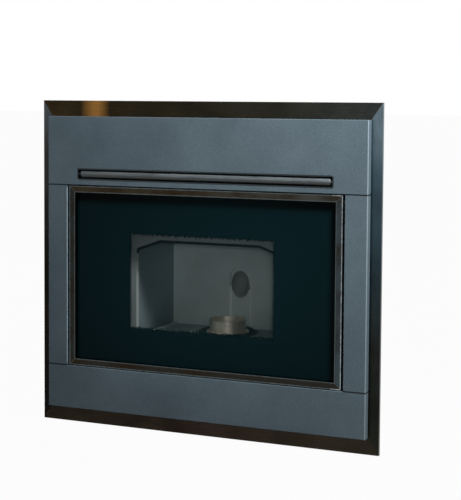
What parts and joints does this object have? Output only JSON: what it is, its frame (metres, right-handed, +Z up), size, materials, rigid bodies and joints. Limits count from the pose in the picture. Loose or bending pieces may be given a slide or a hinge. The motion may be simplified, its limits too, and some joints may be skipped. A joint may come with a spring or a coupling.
{
  "type": "fireplace insert",
  "caption": "Pellet-burning fireplace insert: mitred dark trim, textured surround, air slot and glazed door on a pull-out carriage over a fixed base.",
  "frame": {"origin": "on the hearth under the base frame, midway across the width and midway along the depth", "axes": "+X to the viewer's right along the front, +Y into the fireplace, +Z up"},
  "size_m": [0.8, 0.52, 0.735],
  "materials": {
    "dark_trim_steel": "polished dark nickel",
    "textured_panel_paint": "fine textured matt",
    "black_grille": "matt",
    "black_door_paint": "satin",
    "stove_glass": "black printed rim, clear centre",
    "black_steel": "matt heat-resistant",
    "rope_seal": "woven glass fibre",
    "zinc_sheet": "galvanised",
    "rail_steel": "bright",
    "firebox_paint": "matt light grey",
    "firebox_liner": "matt light grey",
    "stainless_pot": "polished",
    "cast_aluminium": "as cast",
    "motor_can": "plated",
    "fan_drum_plastic": "matt",
    "control_plastic": "matt",
    "switch_plastic": "gloss"
  },
  "bodies": {
    "base": {"base_frame": "zinc_sheet", "rear_dock": "zinc_sheet", "flue_spigot": "zinc_sheet", "air_spigot": "zinc_sheet", "rail_outer_left": "rail_steel", "rail_outer_right": "rail_steel", "dock_gaskets": "rope_seal"},
    "mid_rail_left": {"rail_mid_left": "rail_steel"},
    "mid_rail_right": {"rail_mid_right": "rail_steel"},
    "carriage": {"rail_inner_left": "rail_steel", "rail_inner_right": "rail_steel", "floor_tray": "zinc_sheet", "side_panel_left": "zinc_sheet", "side_panel_right": "zinc_sheet", "rear_panel": "zinc_sheet", "top_cover": "zinc_sheet", "front_frame": "black_steel", "panel_top": "textured_panel_paint", "panel_left": "textured_panel_paint", "panel_right": "textured_panel_paint", "panel_bottom": "textured_panel_paint", "trim_top": "dark_trim_steel", "trim_bottom": "dark_trim_steel", "trim_left": "dark_trim_steel", "trim_right": "dark_trim_steel", "air_grille": "black_grille", "firebox_front": "firebox_paint", "firebox_shell": "firebox_paint", "firebox_back": "firebox_liner", "baffle_plate": "firebox_liner", "heat_tubes": "firebox_paint", "pot_holder": "firebox_paint", "intake_pipe": "firebox_paint", "pellet_chute": "zinc_sheet", "igniter": "rail_steel", "hopper": "zinc_sheet", "auger_tube": "zinc_sheet", "auger_gearmotor": "motor_can", "smoke_duct": "zinc_sheet", "smoke_fan_housing": "cast_aluminium", "smoke_fan_motor": "motor_can", "room_fan_housing": "zinc_sheet", "room_fan_motor": "motor_can", "control_box": "control_plastic", "mains_inlet": "control_plastic", "hinge_brackets": "black_steel"},
    "door": {"door_frame": "black_door_paint", "door_glass": "stove_glass", "glass_retainer": "black_steel", "door_seal": "rope_seal", "hinge_bushes": "black_steel"},
    "latch": {"latch_dog": "black_steel"},
    "burn_pot_body": {"burn_pot": "stainless_pot"},
    "ash_pan_body": {"ash_pan": "firebox_paint"},
    "auger": {"auger_screw": "rail_steel"},
    "smoke_rotor": {"smoke_impeller": "rail_steel"},
    "room_rotor": {"room_fan_drum": "fan_drum_plastic"},
    "hopper_lid_body": {"hopper_lid": "zinc_sheet"},
    "rocker": {"rocker_switch": "switch_plastic"}
  },
  "joints": [
    {"name": "carriage_slide", "type": "slide", "parent": "base", "child": "carriage", "axis": [0, -1, 0], "range_m": [0, 0.38]},
    {"name": "rail_mid_left_slide", "type": "slide", "parent": "base", "child": "mid_rail_left", "axis": [0, -1, 0], "range_m": [0, 0.19]},
    {"name": "rail_mid_right_slide", "type": "slide", "parent": "base", "child": "mid_rail_right", "axis": [0, -1, 0], "range_m": [0, 0.19]},
    {"name": "door_swing", "type": "hinge", "parent": "carriage", "child": "door", "pos_m": [-0.317, -0.2537, 0.34], "axis": [0, 0, -1], "range_deg": [0, 110]},
    {"name": "latch_turn", "type": "hinge", "parent": "door", "child": "latch", "pos_m": [0.3188, -0.245, 0.341], "axis": [0, 1, 0], "range_deg": [0, 90]},
    {"name": "burn_pot_lift", "type": "slide", "parent": "carriage", "child": "burn_pot_body", "axis": [0, 0, 1], "range_m": [0, 0.05]},
    {"name": "ash_pan_lift", "type": "slide", "parent": "carriage", "child": "ash_pan_body", "axis": [0, 0, 1], "range_m": [0, 0.03]},
    {"name": "hopper_lid_hinge", "type": "hinge", "parent": "carriage", "child": "hopper_lid_body", "pos_m": [0.08, 0.1812, 0.6723], "axis": [-1, 0, 0], "range_deg": [0, 88]},
    {"name": "auger_turn", "type": "hinge", "parent": "carriage", "child": "auger", "pos_m": [0.192, 0.115, 0.27826], "axis": [-0.8192, 0, 0.5736], "continuous": true},
    {"name": "smoke_impeller_turn", "type": "hinge", "parent": "carriage", "child": "smoke_rotor", "pos_m": [0.16, 0.095, 0.14], "axis": [1, 0, 0], "continuous": true},
    {"name": "room_fan_turn", "type": "hinge", "parent": "carriage", "child": "room_rotor", "pos_m": [-0.03, -0.16, 0.092], "axis": [1, 0, 0], "continuous": true},
    {"name": "rocker_tilt", "type": "hinge", "parent": "carriage", "child": "rocker", "pos_m": [-0.206, 0.178, 0.241], "axis": [1, 0, 0], "range_deg": [-8, 8]}
  ],
  "couplings": [
    {"joint": "rail_mid_left_slide", "follows": "carriage_slide", "ratio": 0.5},
    {"joint": "rail_mid_right_slide", "follows": "carriage_slide", "ratio": 0.5}
  ]
}
